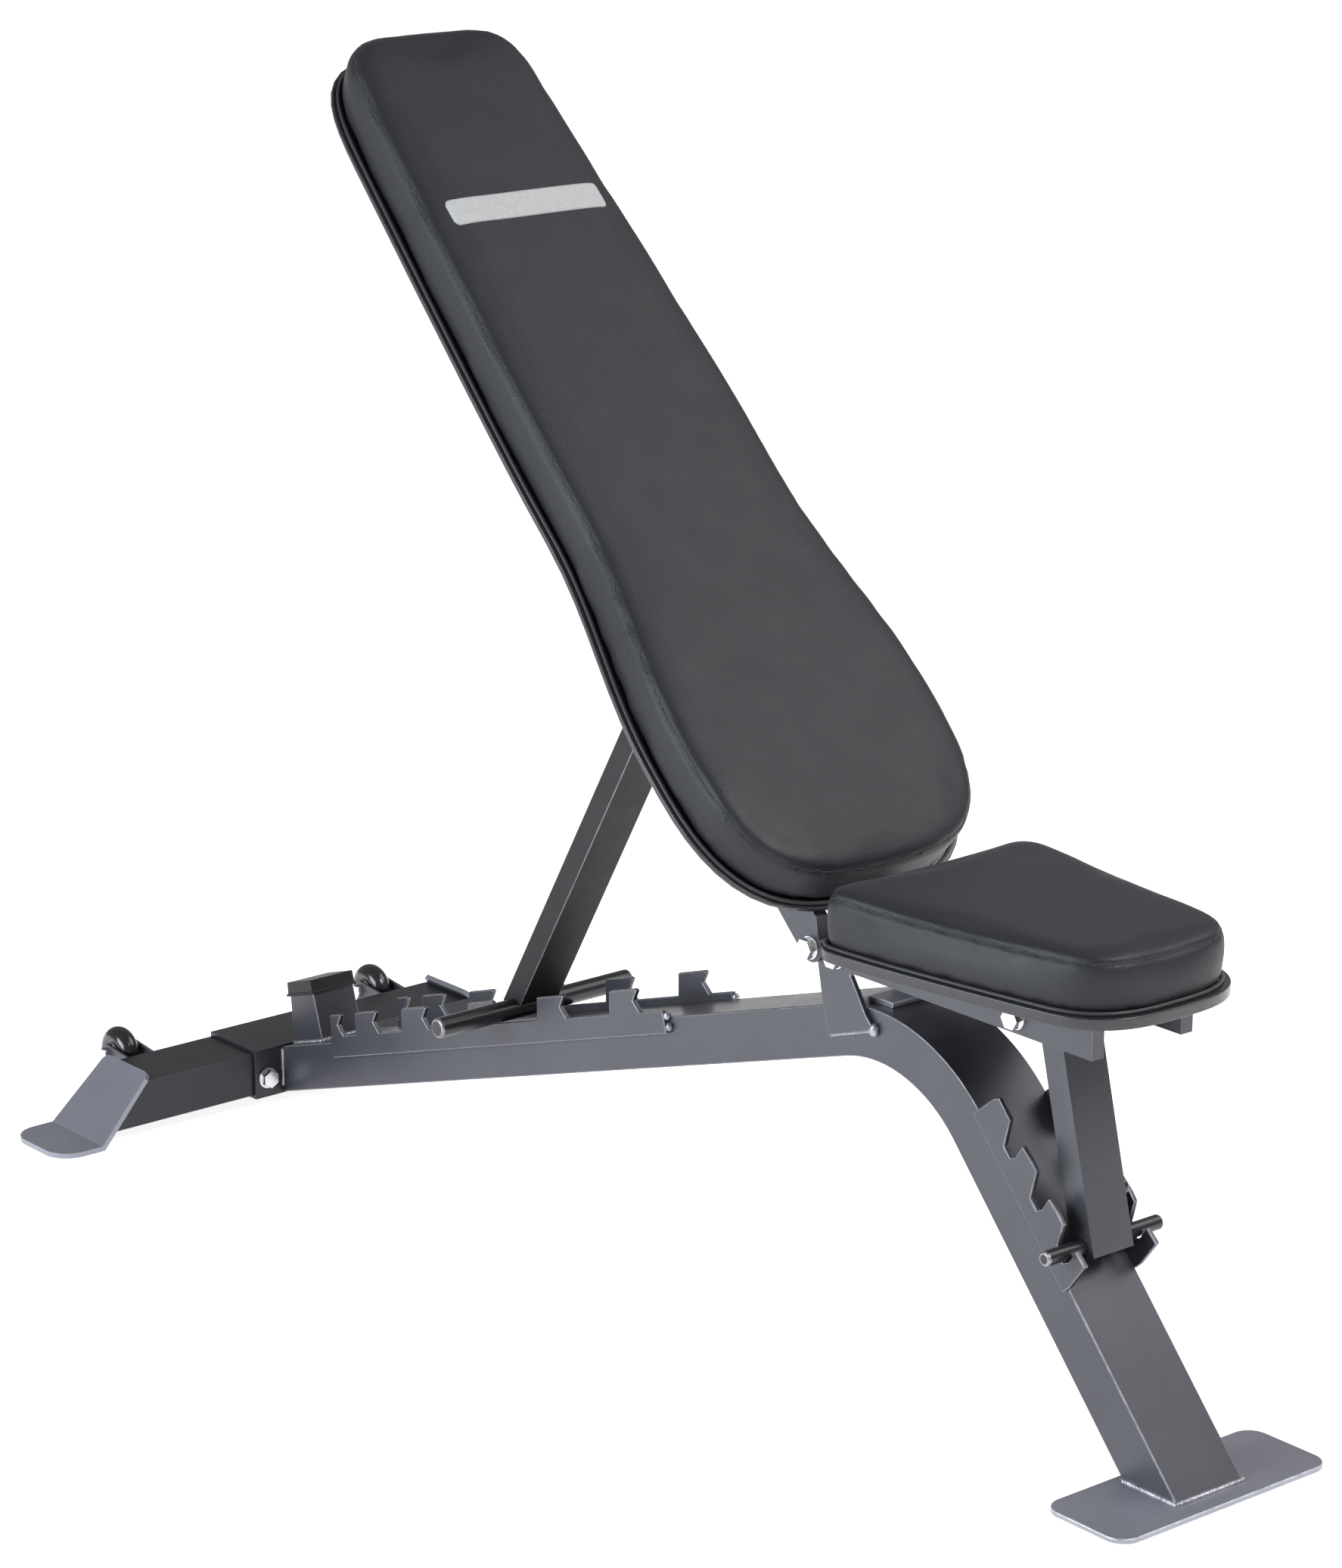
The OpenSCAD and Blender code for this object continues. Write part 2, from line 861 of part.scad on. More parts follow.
module seat_outline(grow) {
  half = [
    for (i = [0:steps])
      let(x = min(max(seat_x(i), seat_rear), seat_front))
        [x, rear_half(x) * front_round(x)]
  ];
  offset(delta = grow)
    polygon(concat(
      half,
      [for (i = [steps - 1:-1:0]) [half[i][0], -half[i][1]]]
    ));
}

module seat_layer(low, high, grow) {
  translate([0, 0, low])
    linear_extrude(height = high - low)
      seat_outline(grow);
}

module seat_cushion() {
  placed() color(vinyl) {
    seat_layer(seat_rim_z + seat_rim_t + weld_gap, seat_z - 12, 0);
    seat_layer(seat_z - 12.01, seat_z - 6, -1.6);
    seat_layer(seat_z - 6.01, seat_z - 2.5, -5);
    seat_layer(seat_z - 2.51, seat_z, -9.5);
  }
}

module seat_rim() {
  placed()
    color(black)
      translate([3, 0, 0])
        seat_layer(seat_rim_z + weld_gap, seat_rim_z + seat_rim_t, rim_out);
}

module seat_board() {
  placed() color(black) seat_layer(seat_board_z + weld_gap, seat_rim_z, -8);
}

module seat_rail_profile() {
  difference() {
    union() {
      polygon([
        seat_pivot + [0, -11],
        [seat_pivot_x + 30, seat_rail_z],
        [1179, seat_rail_z],
        [1179, seat_board_z],
        [seat_rear + 16, seat_board_z],
        [seat_rear + 9, seat_pivot_z + 11],
        seat_pivot + [0, 11]
      ]);
      translate(seat_pivot) circle(r = 11, $fn = 60);
    }
    translate(seat_pivot) circle(r = bolt_r + run_gap, $fn = 48);
    translate(post_pivot) circle(r = bolt_r + run_gap, $fn = 48);
  }
}

module seat_rail_near() {
  placed() color(steel) side_profile(-rail_in - rail_t, -rail_in) seat_rail_profile();
}

module seat_rail_far() {
  placed() color(steel) side_profile(rail_in, rail_in + rail_t) seat_rail_profile();
}

module seat_straps() {
  placed() color(steel)
    for (low = [950, 1140])
      translate([low, -rail_in + weld_gap, seat_board_z - 4])
        cube([30, 2 * (rail_in - weld_gap), 4]);
}

module seat_pivot_bolt() {
  placed() color(zinc) through_bolt(seat_pivot, rail_in + rail_t, 16);
}

module post_bolt() {
  placed() color(zinc) through_bolt(post_pivot, rail_in + rail_t, 16);
}

// ---- seat post ----

module post_spacers() {
  placed() color(steel) spacer_pair(post_pivot, post_w / 2 + 0.5, rail_in - weld_gap);
}

module post_tube() {
  placed() color(steel)
    prop_tube(seat_rod_at, post_pivot, post_angle, post_len, post_t, post_w, 9, 6,
      seat_rod_at, seat_rod_r + weld_gap);
}

module seat_rod() {
  placed() color(steel) rod_y(seat_rod_at, seat_rod_r, seat_rod_len);
}

module post_stud() {
  at = seat_rod_at + 38 * [cos(post_angle), sin(post_angle)];
  placed() color(black) bar_y(at, 8, post_w / 2 + weld_gap, post_w / 2 + 8);
}

// ---- choice ----

main_tube();
foot_plate();
rear_sleeve();
stabiliser_tube();
end_plate_near();
end_plate_far();
sleeve_bolts();
wheel_brackets();
wheel_axles();
wheel_near();
wheel_far();
wheel_hub_near();
wheel_hub_far();
rest_post();
rest_cap();
back_ladder_near();
back_ladder_far();
seat_ladder_near();
seat_ladder_far();
pivot_plate_near();
pivot_plate_far();
stop_bracket();
back_rail_near();
back_rail_far();
back_straps();
back_board();
back_rim();
back_cushion();
back_pivot_bolt();
strut_bolt();
strut_spacers();
strut_tube();
strut_rod();
seat_rail_near();
seat_rail_far();
seat_straps();
seat_board();
seat_rim();
seat_cushion();
seat_pivot_bolt();
post_bolt();
post_spacers();
post_tube();
seat_rod();
post_stud();
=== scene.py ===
import json
import math
import random

import bmesh
import bpy
from mathutils import Matrix, Vector, noise
from mathutils.bvhtree import BVHTree
from mathutils.kdtree import KDTree


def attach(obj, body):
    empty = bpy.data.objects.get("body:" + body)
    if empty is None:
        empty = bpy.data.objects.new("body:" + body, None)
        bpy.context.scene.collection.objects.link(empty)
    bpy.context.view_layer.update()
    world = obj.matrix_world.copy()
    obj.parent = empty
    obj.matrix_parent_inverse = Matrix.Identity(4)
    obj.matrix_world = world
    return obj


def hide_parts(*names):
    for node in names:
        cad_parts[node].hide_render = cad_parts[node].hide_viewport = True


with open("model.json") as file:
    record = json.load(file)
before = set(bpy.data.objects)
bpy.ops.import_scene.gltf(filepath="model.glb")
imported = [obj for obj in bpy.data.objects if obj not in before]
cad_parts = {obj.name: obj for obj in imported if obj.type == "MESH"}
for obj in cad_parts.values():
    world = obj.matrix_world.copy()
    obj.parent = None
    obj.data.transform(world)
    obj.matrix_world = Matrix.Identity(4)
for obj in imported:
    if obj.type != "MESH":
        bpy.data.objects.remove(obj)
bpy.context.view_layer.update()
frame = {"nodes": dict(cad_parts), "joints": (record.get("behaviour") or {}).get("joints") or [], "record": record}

nodes = frame["nodes"]
joints = {joint["name"]: joint for joint in frame["joints"]}
random.seed(7)

# ---- the bench's own measures, in millimetres as in the CAD source ----

MM = 0.001
BACK_PIVOT = (847.0, 366.0)
SHIFT = BACK_PIVOT[0] * MM - joints["back_recline"]["pos_m"][0]
BEAM_ANGLE = math.radians(17.6)
LEG_ANGLE = math.radians(48.5)
BEND_CENTRE = (908.7, 150.0)
BEND_OUT = 173.0
TUBE_HALF = 37.5
TUBE_HIGH = 45.0
BACK_ANGLE = math.radians(44.6)
BACK_REF = (866.0, 463.5)
CUSHION_DEPTH = 48.0

# back pad: heights along it, and half widths there
BACK_TOP = 864.0
BACK_LOW = 36.0
HIP_AT = 120.0
WAIST_FROM = 350.0
WAIST_TO = 400.0
HEAD_AT = 778.0
HEAD_TURN = 740.0
HIP_HALF = 145.0
WAIST_HALF = 119.0
HEAD_HALF = 103.0

# seat: places along X, its half width and how it narrows
SEAT_TOP = 449.0
SEAT_REAR = 924.5
SEAT_FRONT = 1214.0
SEAT_TURN = 1150.0
SEAT_HALF = 118.5
SEAT_TAPER = 24.0
TAPER_FROM = 950.0
TAPER_RUN = 177.0

CAMERA_AZIMUTH = 50.4
CAMERA_ELEVATION = 16.1
CAMERA_PLACE = Vector((3.5798 - SHIFT, -2.4681, 1.5590))
CAMERA_LENS = 105.66


def place(x, y, z):
    """A point of the CAD source's own layout, in the row frame."""
    return Vector((x * MM - SHIFT, y * MM, z * MM))


BEAM_ALONG = (math.cos(BEAM_ANGLE), math.sin(BEAM_ANGLE))
BEAM_OUT = (-math.sin(BEAM_ANGLE), math.cos(BEAM_ANGLE))
BEAM_TOP = tuple(BEND_CENTRE[i] + BEND_OUT * BEAM_OUT[i] for i in (0, 1))
BEAM_RUN = (BEAM_TOP[0] - 46.0) / BEAM_ALONG[0]
LEG_UP = (-math.cos(LEG_ANGLE), math.sin(LEG_ANGLE))
LEG_OUT = (math.sin(LEG_ANGLE), math.cos(LEG_ANGLE))
LEG_BEND = tuple(BEND_CENTRE[i] + BEND_OUT * LEG_OUT[i] for i in (0, 1))
LEG_RUN = (LEG_BEND[1] - 4.0) / LEG_UP[1]


def on_beam(along, out, y):
    base = [BEAM_TOP[i] - BEAM_RUN * BEAM_ALONG[i] for i in (0, 1)]
    x, z = (base[i] + along * BEAM_ALONG[i] + out * BEAM_OUT[i] for i in (0, 1))
    return place(x, y, z)


def on_leg(up, out, y):
    base = [LEG_BEND[i] - LEG_RUN * LEG_UP[i] for i in (0, 1)]
    x, z = (base[i] + up * LEG_UP[i] + out * LEG_OUT[i] for i in (0, 1))
    return place(x, y, z)


# ---- materials ----

class Graph:
    """A small helper that adds and links shader nodes."""

    def __init__(self, name):
        self.material = bpy.data.materials.new(name)
        self.material.use_nodes = True
        self.tree = self.material.node_tree
        self.shader = self.tree.nodes["Principled BSDF"]
        self.coords = self.add("ShaderNodeTexCoord").outputs["Object"]

    def add(self, kind, **settings):
        node = self.tree.nodes.new(kind)
        for key, value in settings.items():
            setattr(node, key, value)
        return node

    def link(self, source, target):
        self.tree.links.new(source, target)

    def set(self, socket, value):
        self.shader.inputs[socket].default_value = value

    def noise(self, scale, detail=3.0, rough=0.5, stretch=None):
        node = self.add("ShaderNodeTexNoise")
        node.inputs["Scale"].default_value = scale
        node.inputs["Detail"].default_value = detail
        node.inputs["Roughness"].default_value = rough
        if stretch:
            mapping = self.add("ShaderNodeMapping")
            mapping.inputs["Scale"].default_value = stretch
            self.link(self.coords, mapping.inputs["Vector"])
            self.link(mapping.outputs["Vector"], node.inputs["Vector"])
        else:
            self.link(self.coords, node.inputs["Vector"])
        return node.outputs["Fac"]

    def cells(self, scale, feature="F1"):
        node = self.add("ShaderNodeTexVoronoi", feature=feature)
        node.inputs["Scale"].default_value = scale
        self.link(self.coords, node.inputs["Vector"])
        return node.outputs["Distance"]

    def ramp(self, source, stops):
        node = self.add("ShaderNodeValToRGB")
        ramp = node.color_ramp
        while len(ramp.elements) < len(stops):
            ramp.elements.new(0.5)
        for element, (position, colour) in zip(ramp.elements, stops):
            element.position = position
            element.color = (*colour, 1.0)
        self.link(source, node.inputs["Fac"])
        return node.outputs["Color"]

    def spread(self, source, low, high):
        node = self.add("ShaderNodeMapRange")
        node.inputs["To Min"].default_value = low
        node.inputs["To Max"].default_value = high
        self.link(source, node.inputs["Value"])
        return node.outputs["Result"]

    def mix(self, factor, first, second):
        node = self.add("ShaderNodeMix", data_type="RGBA")
        self.link(factor, node.inputs["Factor"])
        self.link(first, node.inputs[6])
        self.link(second, node.inputs[7])
        return node.outputs[2]

    def bump(self, layers):
        last = None
        for source, strength, distance in layers:
            node = self.add("ShaderNodeBump")
            node.inputs["Strength"].default_value = strength
            node.inputs["Distance"].default_value = distance
            self.link(source, node.inputs["Height"])
            if last is not None:
                self.link(last, node.inputs["Normal"])
            last = node.outputs["Normal"]
        self.link(last, self.shader.inputs["Normal"])


def shade(colour, factor):
    return tuple(min(1.0, channel * factor) for channel in colour)


def painted(name, colour, metallic=0.4, rough=0.36, spread=0.16, coat=0.15):
    """Satin metallic powder coat: flake sparkle, cloudy thickness, orange peel."""
    g = Graph(name)
    cloud = g.noise(9.0, 4.0, 0.55)
    flake = g.cells(1400.0)
    broad = g.ramp(cloud, [(0.3, shade(colour, 1 - spread)), (0.7, shade(colour, 1 + spread))])
    spark = g.ramp(flake, [(0.15, shade(colour, 1.5)), (0.55, shade(colour, 0.85))])
    g.link(g.mix(g.spread(g.noise(60.0), 0.1, 0.45), broad, spark), g.shader.inputs["Base Color"])
    patchy = g.spread(g.noise(35.0, 5.0, 0.6), rough - 0.06, rough + 0.09)
    g.link(patchy, g.shader.inputs["Roughness"])
    g.set("Metallic", metallic)
    g.set("Coat Weight", coat)
    g.set("Coat Roughness", 0.25)
    g.bump([(g.noise(420.0, 2.0), 0.10, 0.0004), (g.noise(14.0, 2.0), 0.05, 0.002)])
    return g.material


def bare_edge(name, colour):
    """Where the coat has thinned or worn along an edge."""
    g = Graph(name)
    worn = g.noise(90.0, 6.0, 0.7)
    g.link(g.ramp(worn, [(0.35, shade(colour, 0.72)), (0.62, shade(colour, 1.2))]),
           g.shader.inputs["Base Color"])
    g.link(g.spread(g.noise(300.0), 0.28, 0.5), g.shader.inputs["Roughness"])
    g.set("Metallic", 0.7)
    g.bump([(g.noise(800.0, 3.0), 0.12, 0.0003)])
    return g.material


def plated(name, colour, rough=0.22):
    """Bright zinc with faint turning marks."""
    g = Graph(name)
    marks = g.noise(60.0, 2.0, 0.5, stretch=(1.0, 40.0, 1.0))
    spots = g.noise(160.0, 5.0, 0.65)
    g.link(g.ramp(spots, [(0.3, shade(colour, 0.8)), (0.7, colour)]), g.shader.inputs["Base Color"])
    g.link(g.spread(marks, rough - 0.06, rough + 0.14), g.shader.inputs["Roughness"])
    g.set("Metallic", 1.0)
    g.bump([(marks, 0.06, 0.0003), (spots, 0.05, 0.0002)])
    return g.material


def vinyl(name, colour, rough=0.5, grain=1.0):
    """Upholstery vinyl: pebbled grain in cells, finer creases, patchy sheen."""
    g = Graph(name)
    pebble = g.cells(520.0, "SMOOTH_F1")
    crease = g.noise(1500.0, 4.0, 0.6)
    cloud = g.noise(7.0, 4.0, 0.5)
    fine = g.ramp(pebble, [(0.1, shade(colour, 1.12)), (0.6, shade(colour, 0.86))])
    broad = g.ramp(cloud, [(0.3, shade(colour, 0.9)), (0.7, shade(colour, 1.12))])
    g.link(g.mix(g.spread(crease, 0.3, 0.7), fine, broad), g.shader.inputs["Base Color"])
    patchy = g.spread(g.noise(24.0, 4.0, 0.6), rough - 0.07, rough + 0.07)
    g.link(patchy, g.shader.inputs["Roughness"])
    g.set("Specular IOR Level", 0.4)
    g.set("Sheen Weight", 0.06)
    g.set("Sheen Roughness", 0.45)
    g.bump([(pebble, 0.30 * grain, 0.0005), (crease, 0.16 * grain, 0.0002), (cloud, 0.10, 0.003)])
    return g.material


def moulded(name, colour, rough=0.24, coat=0.4):
    """Glossy moulding with fine scuffs."""
    g = Graph(name)
    scuff = g.noise(40.0, 6.0, 0.7, stretch=(1.0, 6.0, 3.0))
    g.link(g.ramp(scuff, [(0.35, shade(colour, 0.8)), (0.7, shade(colour, 1.5))]),
           g.shader.inputs["Base Color"])
    g.link(g.spread(scuff, rough - 0.05, rough + 0.16), g.shader.inputs["Roughness"])
    g.set("Coat Weight", coat)
    g.set("Coat Roughness", 0.12)
    g.bump([(g.noise(260.0, 3.0), 0.06, 0.0003), (scuff, 0.04, 0.0006)])
    return g.material


def fabric(name, colour):
    """A plain weave of crossing threads."""
    g = Graph(name)
    waves = []
    for axis in ("X", "Y"):
        wave = g.add("ShaderNodeTexWave", wave_type="BANDS", bands_direction=axis)
        wave.inputs["Scale"].default_value = 420.0
        wave.inputs["Distortion"].default_value = 0.6
        g.link(g.coords, wave.inputs["Vector"])
        waves.append(wave.outputs["Fac"])
    dust = g.noise(300.0, 4.0)
    g.link(g.ramp(dust, [(0.3, shade(colour, 0.86)), (0.7, colour)]), g.shader.inputs["Base Color"])
    g.link(g.spread(dust, 0.7, 0.9), g.shader.inputs["Roughness"])
    g.bump([(waves[0], 0.35, 0.0003), (waves[1], 0.35, 0.0003)])
    return g.material


STEEL = (0.085, 0.086, 0.102)
PALE_STEEL = (0.34, 0.345, 0.40)
MATERIALS = {
    "frame_paint": painted("frame_coat", STEEL),
    "plate_paint": painted("plate_coat", PALE_STEEL, 0.6, 0.34, 0.1),
    "cross_rods": painted("rod_coat", (0.028, 0.028, 0.032), 0.4, 0.3, 0.1, 0.3),
    "plated_bolts": plated("zinc_plate", (0.82, 0.82, 0.83)),
    "upholstery": vinyl("charcoal_vinyl", (0.0160, 0.0175, 0.0225)),
    "rim_moulding": moulded("rim_gloss", (0.018, 0.018, 0.022)),
    "backing_board": vinyl("board_cover", (0.014, 0.014, 0.015), 0.7, 0.6),
    "black_plastic": moulded("cap_gloss", (0.013, 0.013, 0.014), 0.2, 0.5),
    "wheel_rubber": moulded("tyre_gloss", (0.012, 0.012, 0.013), 0.18, 0.6),
}
EDGES = {
    "frame_paint": bare_edge("frame_edge", (0.24, 0.24, 0.27)),
    "plate_paint": bare_edge("plate_edge", (0.58, 0.59, 0.64)),
    "cross_rods": bare_edge("rod_end", (0.30, 0.30, 0.32)),
}
# pieces painted darker than the rest of their slot: painted shade, for parts the lights leave in shadow
SHADE_PAINTED = {
    # strut, cross tube, sleeve and rest cap: darker coats that are painted shade
    "strut_tube": painted("strut_shade_coat", (0.012, 0.012, 0.013), 0.1, 0.6, 0.16, 0.0),
    "stabiliser_tube": painted("cross_tube_shade_coat", (0.030, 0.031, 0.037), 0.4, 0.38),
    "rear_sleeve": painted("sleeve_shade_coat", (0.042, 0.043, 0.051), 0.4, 0.37),
    "rest_cap": moulded("cap_shade_black", (0.003, 0.003, 0.0035), 0.4, 0.05),
}
BEAD = bare_edge("weld_bead", (0.42, 0.42, 0.46))
# piping cord in a vinyl lighter than the cover: a painted highlight along the rim's upper edge
PIPING_HIGHLIGHT = vinyl("piping_highlight_vinyl", (0.050, 0.051, 0.057), 0.4, 0.5)
THREAD = fabric("stitch_thread", (0.050, 0.051, 0.057))
PATCH = fabric("patch_weave", (0.60, 0.61, 0.62))
PATCH_THREAD = fabric("patch_thread", (0.72, 0.73, 0.74))


# ---- the CAD pieces that stay: rounded edges and finishes ----

SLOT_OF = {part["node"]: part["material_slot"] for part in frame["record"]["subparts"]}
FINE = ("wheel_near", "wheel_far", "sleeve_bolts", "wheel_axles", "wheel_brackets")


def finish_node(name, node):
    """Gives a CAD piece its material, merged flat faces and rounded edges."""
    slot = SLOT_OF[name]
    node.data.materials.clear()
    # listed pieces take a darker coat of painted shade in place of their slot's own
    node.data.materials.append(SHADE_PAINTED.get(name, MATERIALS[slot]))
    weld = node.modifiers.new("join_corners", "WELD")
    weld.merge_threshold = 0.00002
    flat = node.modifiers.new("flat_faces", "DECIMATE")
    flat.decimate_type = "DISSOLVE"
    flat.angle_limit = math.radians(0.3)
    bevel = node.modifiers.new("soft_edges", "BEVEL")
    bevel.limit_method = "ANGLE"
    bevel.angle_limit = math.radians(35)
    bevel.width = 0.0006 if name in FINE else 0.0011
    bevel.segments = 2
    if slot in EDGES:
        node.data.materials.append(EDGES[slot])
        bevel.material = 1
    for face in node.data.polygons:
        face.use_smooth = True
    shading = node.modifiers.new("even_shading", "WEIGHTED_NORMAL")
    shading.keep_sharp = False


for node_name, node in nodes.items():
    finish_node(node_name, node)


# ---- making pieces ----

def new_piece(name, mesh, body, material):
    """A named piece of the model that rides a body."""
    piece = bpy.data.objects.new(name, mesh)
    bpy.context.scene.collection.objects.link(piece)
    mesh.materials.clear()
    mesh.materials.append(material)
    for face in mesh.polygons:
        face.use_smooth = True
    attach(piece, body)
    return piece


def sweep(name, points, radius, closed=False, sides=10, ripple=0.0, pitch=0.0026):
    """A round cord or bead along points; ripple gives a weld's scales."""
    count = len(points)
    verts, faces = [], []
    travelled = 0.0
    last = None
    for i, point in enumerate(points):
        ahead = points[(i + 1) % count] if closed or i < count - 1 else points[i]
        behind = points[i - 1] if closed or i > 0 else points[i]
        along = (ahead - behind).normalized()
        if last is None:
            guide = Vector((0, 0, 1)) if abs(along.z) < 0.9 else Vector((1, 0, 0))
            normal = (guide - along * guide.dot(along)).normalized()
        else:
            normal = (last - along * last.dot(along)).normalized()
        last = normal
        side = along.cross(normal)
        if i:
            travelled += (point - points[i - 1]).length
        size = radius
        if ripple:
            size *= 1 + ripple * math.sin(travelled / pitch * 2 * math.pi)
            size *= 1 + 0.5 * ripple * (random.random() - 0.5)
        if not closed and i in (0, count - 1):
            size *= 0.45
        for k in range(sides):
            turn = 2 * math.pi * k / sides
            verts.append(point + size * (math.cos(turn) * normal + math.sin(turn) * side))
    rings = count if closed else count - 1
    for i in range(rings):
        a, b = i * sides, ((i + 1) % count) * sides
        for k in range(sides):
            n = (k + 1) % sides
            faces.append((a + k, a + n, b + n, b + k))
    if not closed:
        faces.append(tuple(range(sides))[::-1])
        faces.append(tuple((count - 1) * sides + k for k in range(sides)))
    mesh = bpy.data.meshes.new(name)
    mesh.from_pydata([tuple(v) for v in verts], [], faces)
    mesh.validate()
    repair = bmesh.new()
    repair.from_mesh(mesh)
    bmesh.ops.recalc_face_normals(repair, faces=repair.faces)
    repair.to_mesh(mesh)
    repair.free()
    return mesh


def spaced(corners, step, closed=False):
    """Points at an even step along straight runs between corners."""
    path = []
    count = len(corners)
    for i in range(count if closed else count - 1):
        start, end = corners[i], corners[(i + 1) % count]
        parts = max(1, round((end - start).length / step))
        path += [start.lerp(end, k / parts) for k in range(parts)]
    if not closed:
        path.append(corners[-1])
    return path


def weld(name, corners, body, radius, closed=False):
    """A rippled weld bead along straight runs, a little unsteady."""
    path = spaced(corners, 0.0009, closed)
    path = [p + Vector([(random.random() - 0.5) * 0.0003 for _ in range(3)]) for p in path]
    mesh = sweep(name, path, radius, closed, 8, 0.16)
    return new_piece(name, mesh, body, BEAD)


# ---- padded pieces ----

OUTLINE_POINTS = 420
SMOOTHING_PASSES = 14
BACK_SWELL = 0.0035
SEAT_SWELL = 0.0032
BACK_VOXEL = 0.006
SEAT_VOXEL = 0.005


def rounded(past, squareness):
    """A superellipse's height at a share of its run; more squareness, tighter corners."""
    return max(0.0, 1 - past ** squareness) ** (1 / squareness)


def back_half(s):
    """Half width of the back pad at a height along it, before its head turns round."""
    if s < HIP_AT:
        return HIP_HALF * rounded((HIP_AT - s) / (HIP_AT + BACK_LOW), 3)
    if s < WAIST_FROM:
        blend = (1 + math.cos(math.pi * (s - HIP_AT) / (WAIST_FROM - HIP_AT))) / 2
        return WAIST_HALF + (HIP_HALF - WAIST_HALF) * blend
    if s < WAIST_TO:
        return WAIST_HALF
    share = (s - WAIST_TO) / (HEAD_AT - WAIST_TO)
    return WAIST_HALF - (WAIST_HALF - HEAD_HALF) * share ** 1.25


def back_outline(top, squareness):
    """The back pad's outline, as far as a top end."""
    def width(s):
        past = max(0.0, (s - HEAD_TURN) / (top - HEAD_TURN))
        return back_half(s) * rounded(past, squareness)
    return outline(width, -BACK_LOW, top)


def seat_outline(rear, corner, squareness):
    """The seat's outline; its rear corners are arcs of the given radius."""
    def width(x):
        side = SEAT_HALF - SEAT_TAPER * (max(0.0, (x - TAPER_FROM) / TAPER_RUN)) ** 1.3
        short = max(0.0, rear + corner - x)
        side += math.sqrt(max(0.0, corner ** 2 - short ** 2)) - corner
        past = max(0.0, (x - SEAT_TURN) / (SEAT_FRONT - SEAT_TURN))
        return side * rounded(past, squareness)
    return outline(width, rear, SEAT_FRONT)


def outline(half, low, high, steps=160):
    """The closed outline of a pad, from its half width along its length."""
    along = [(low + high) / 2 - (high - low) / 2 * math.cos(math.pi * i / steps)
             for i in range(steps + 1)]
    right = [(a, half(a)) for a in along]
    left = [(a, -w) for a, w in reversed(right)]
    ring = [p for p in right if p[1] > 0.01 or p[0] in (low, high)]
    ring += [p for p in left if p[1] < -0.01]
    return [Vector((a, w)) for a, w in ring]


def even(ring, count):
    """The same closed outline with points at an even spacing."""
    lengths = [0.0]
    for i, point in enumerate(ring):
        lengths.append(lengths[-1] + (ring[(i + 1) % len(ring)] - point).length)
    total = lengths[-1]
    result = []
    i = 0
    for k in range(count):
        target = total * k / count
        while lengths[i + 1] < target:
            i += 1
        share = (target - lengths[i]) / max(1e-9, lengths[i + 1] - lengths[i])
        result.append(ring[i].lerp(ring[(i + 1) % len(ring)], share))
    return result


def grown(ring, by):
    """The outline moved outwards by a distance."""
    count = len(ring)
    moved = []
    for i in range(count):
        along = (ring[(i + 2) % count] - ring[i - 2]).normalized()
        moved.append(ring[i] + Vector((-along.y, along.x)) * by)
    return moved


def pad_block(name, foot_ring, top_ring, layers):
    """A closed solid lofted between two outlines through (height, growth) layers."""
    mesh = bpy.data.meshes.new(name)
    count = len(foot_ring)
    half_way = layers[-1][0] / 2
    verts, faces = [], []
    for height, growth in layers:
        share = min(1.0, height / half_way)
        ring = [low.lerp(high, share) for low, high in zip(foot_ring, top_ring)]
        verts += [(p.x * MM, p.y * MM, height * MM) for p in grown(ring, growth)]
    for level in range(len(layers) - 1):
        for k in range(count):
            n = (k + 1) % count
            a, b = level * count, (level + 1) * count
            faces.append((a + k, a + n, b + n, b + k))
    faces.append(tuple(range(count))[::-1])
    faces.append(tuple((len(layers) - 1) * count + k for k in range(count)))
    mesh.from_pydata(verts, [], faces)
    repair = bmesh.new()
    repair.from_mesh(mesh)
    bmesh.ops.recalc_face_normals(repair, faces=repair.faces)
    repair.to_mesh(mesh)
    repair.free()
    return mesh


def baked(piece):
    """The piece's mesh with its modifiers applied."""
    graph = bpy.context.evaluated_depsgraph_get()
    mesh = bpy.data.meshes.new_from_object(piece.evaluated_get(graph))
    piece.modifiers.clear()
    old = piece.data
    piece.data = mesh
    bpy.data.meshes.remove(old)
    return mesh


